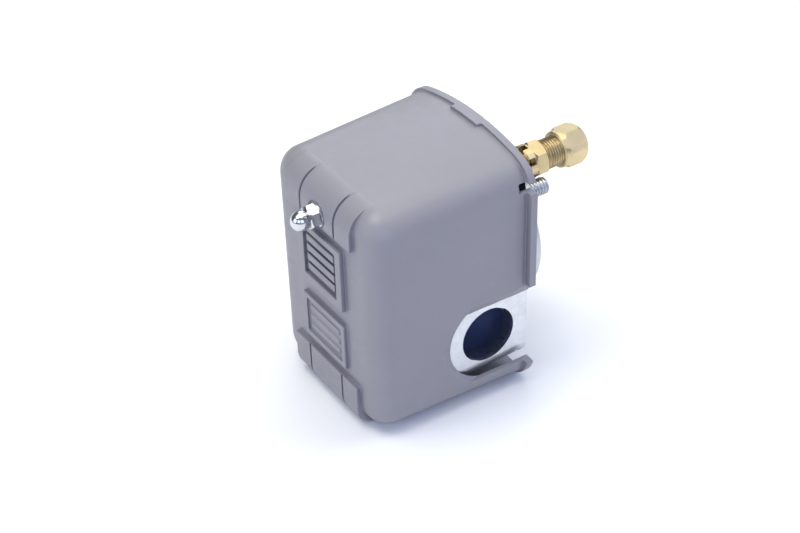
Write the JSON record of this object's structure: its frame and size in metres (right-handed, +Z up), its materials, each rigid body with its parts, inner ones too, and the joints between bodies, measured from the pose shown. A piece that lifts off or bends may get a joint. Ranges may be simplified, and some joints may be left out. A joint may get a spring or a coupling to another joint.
{
  "type": "pressure switch",
  "caption": "Pressure switch with a deep rounded grey cover held by a cap nut, side conduit holes, a threaded pressure port and a brass release valve behind.",
  "frame": {"origin": "on the plane the part stands on, under the middle of its bounding box", "axes": "+Z up, +Y out of the threaded pressure port at the back, -Y towards the cover's flat front, X across between the two conduit holes with the release valve on +X"},
  "size_m": [0.075, 0.1078, 0.1003],
  "materials": {
    "cover_plastic": "fine satin moulded grain",
    "plated_steel": "bright zinc plated sheet",
    "plated_screw": "bright zinc plated",
    "nickel_plate": "bright nickel plated",
    "cast_flange": "die cast, plated",
    "rubber": "smooth rubber",
    "spring_steel": "drawn spring wire",
    "black_oxide": "black oxide",
    "block_plastic": "dark blue moulded thermoset",
    "carrier_plastic": "black moulded plastic",
    "brass": "machined brass",
    "plated_brass": "machined brass",
    "copper_strip": "copper alloy strip",
    "silver": "silver alloy contact",
    "green_screw": "green earth screw"
  },
  "bodies": {
    "housing": {"base_frame": "plated_steel", "ground_screw": "green_screw", "pressure_flange": "cast_flange", "diaphragm": "rubber", "flange_screws": "plated_screw", "lever_pin": "plated_screw", "lever_pin_clip": "black_oxide", "range_stud": "plated_screw", "range_stud_nut": "plated_screw", "range_spring": "spring_steel", "range_spring_seat": "plated_steel", "differential_stud": "plated_screw", "differential_washer": "plated_steel", "differential_spring": "spring_steel", "contact_block": "block_plastic", "block_screws": "plated_screw", "terminal_plates": "plated_brass", "wire_clamps": "plated_steel", "terminal_screws": "plated_screw", "fixed_contacts": "silver", "carrier_pin": "plated_screw", "snap_spring": "spring_steel", "valve_bracket": "plated_steel", "bracket_stud": "plated_steel", "valve_body": "brass", "valve_locknut": "brass", "valve_spring": "spring_steel", "ferrule": "plated_brass"},
    "cover": {"cover": "cover_plastic", "cover_washer": "plated_screw"},
    "cap_nut": {"cap_nut": "nickel_plate"},
    "piston": {"diaphragm_piston": "cast_flange"},
    "lever": {"operating_lever": "plated_steel"},
    "carrier": {"contact_carrier": "carrier_plastic", "bridge_springs": "spring_steel"},
    "bridges": {"contact_bridges": "copper_strip", "moving_contacts": "silver"},
    "plunger": {"valve_plunger": "plated_brass"},
    "range_nut": {"range_nut": "plated_screw"},
    "differential_nut": {"differential_nut": "plated_screw"},
    "compression_nut": {"compression_nut": "brass"}
  },
  "joints": [
    {"name": "cover_slide", "type": "slide", "parent": "housing", "child": "cover", "axis": [0, -1, 0], "range_m": [0, 0.075]},
    {"name": "cap_nut_turn", "type": "hinge", "parent": "cover", "child": "cap_nut", "pos_m": [0, -0.04735, 0.0826], "axis": [0, -1, 0], "continuous": true},
    {"name": "lever_hinge", "type": "hinge", "parent": "housing", "child": "lever", "pos_m": [0, 0.01765, 0.0349], "axis": [1, 0, 0], "range_deg": [0, 4], "stiffness_Nm_per_rad": 3, "springref_deg": -11.46, "deforming": ["range_spring", "snap_spring"]},
    {"name": "piston_slide", "type": "slide", "parent": "housing", "child": "piston", "axis": [0, -1, 0], "range_m": [0, 0.00095], "deforming": ["diaphragm"]},
    {"name": "carrier_hinge", "type": "hinge", "parent": "housing", "child": "carrier", "pos_m": [0, -0.00435, 0.0379], "axis": [-1, 0, 0], "range_deg": [0, 14.5]},
    {"name": "bridge_give", "type": "slide", "parent": "carrier", "child": "bridges", "axis": [0, -1, 0], "range_m": [0, 0.0006], "stiffness_N_per_m": 150, "springref_m": -0.002, "deforming": ["bridge_springs"]},
    {"name": "plunger_slide", "type": "slide", "parent": "housing", "child": "plunger", "axis": [0, -1, 0], "range_m": [0, 0.0036], "deforming": ["valve_spring"]},
    {"name": "range_nut_turn", "type": "hinge", "parent": "housing", "child": "range_nut", "pos_m": [0, -0.02335, 0.0826], "axis": [0, -1, 0], "continuous": true},
    {"name": "differential_nut_turn", "type": "hinge", "parent": "housing", "child": "differential_nut", "pos_m": [-0.015, -0.01135, 0.0809], "axis": [0, -1, 0], "continuous": true},
    {"name": "compression_nut_turn", "type": "hinge", "parent": "housing", "child": "compression_nut", "pos_m": [0.02, 0.04765, 0.0859], "axis": [0, 1, 0], "continuous": true}
  ],
  "couplings": [
    {"joint": "piston_slide", "follows": "lever_hinge", "m_per_rad": 0.013},
    {"joint": "carrier_hinge", "follows": "lever_hinge", "ratio": 3.5},
    {"joint": "plunger_slide", "follows": "lever_hinge", "m_per_rad": 0.049}
  ]
}
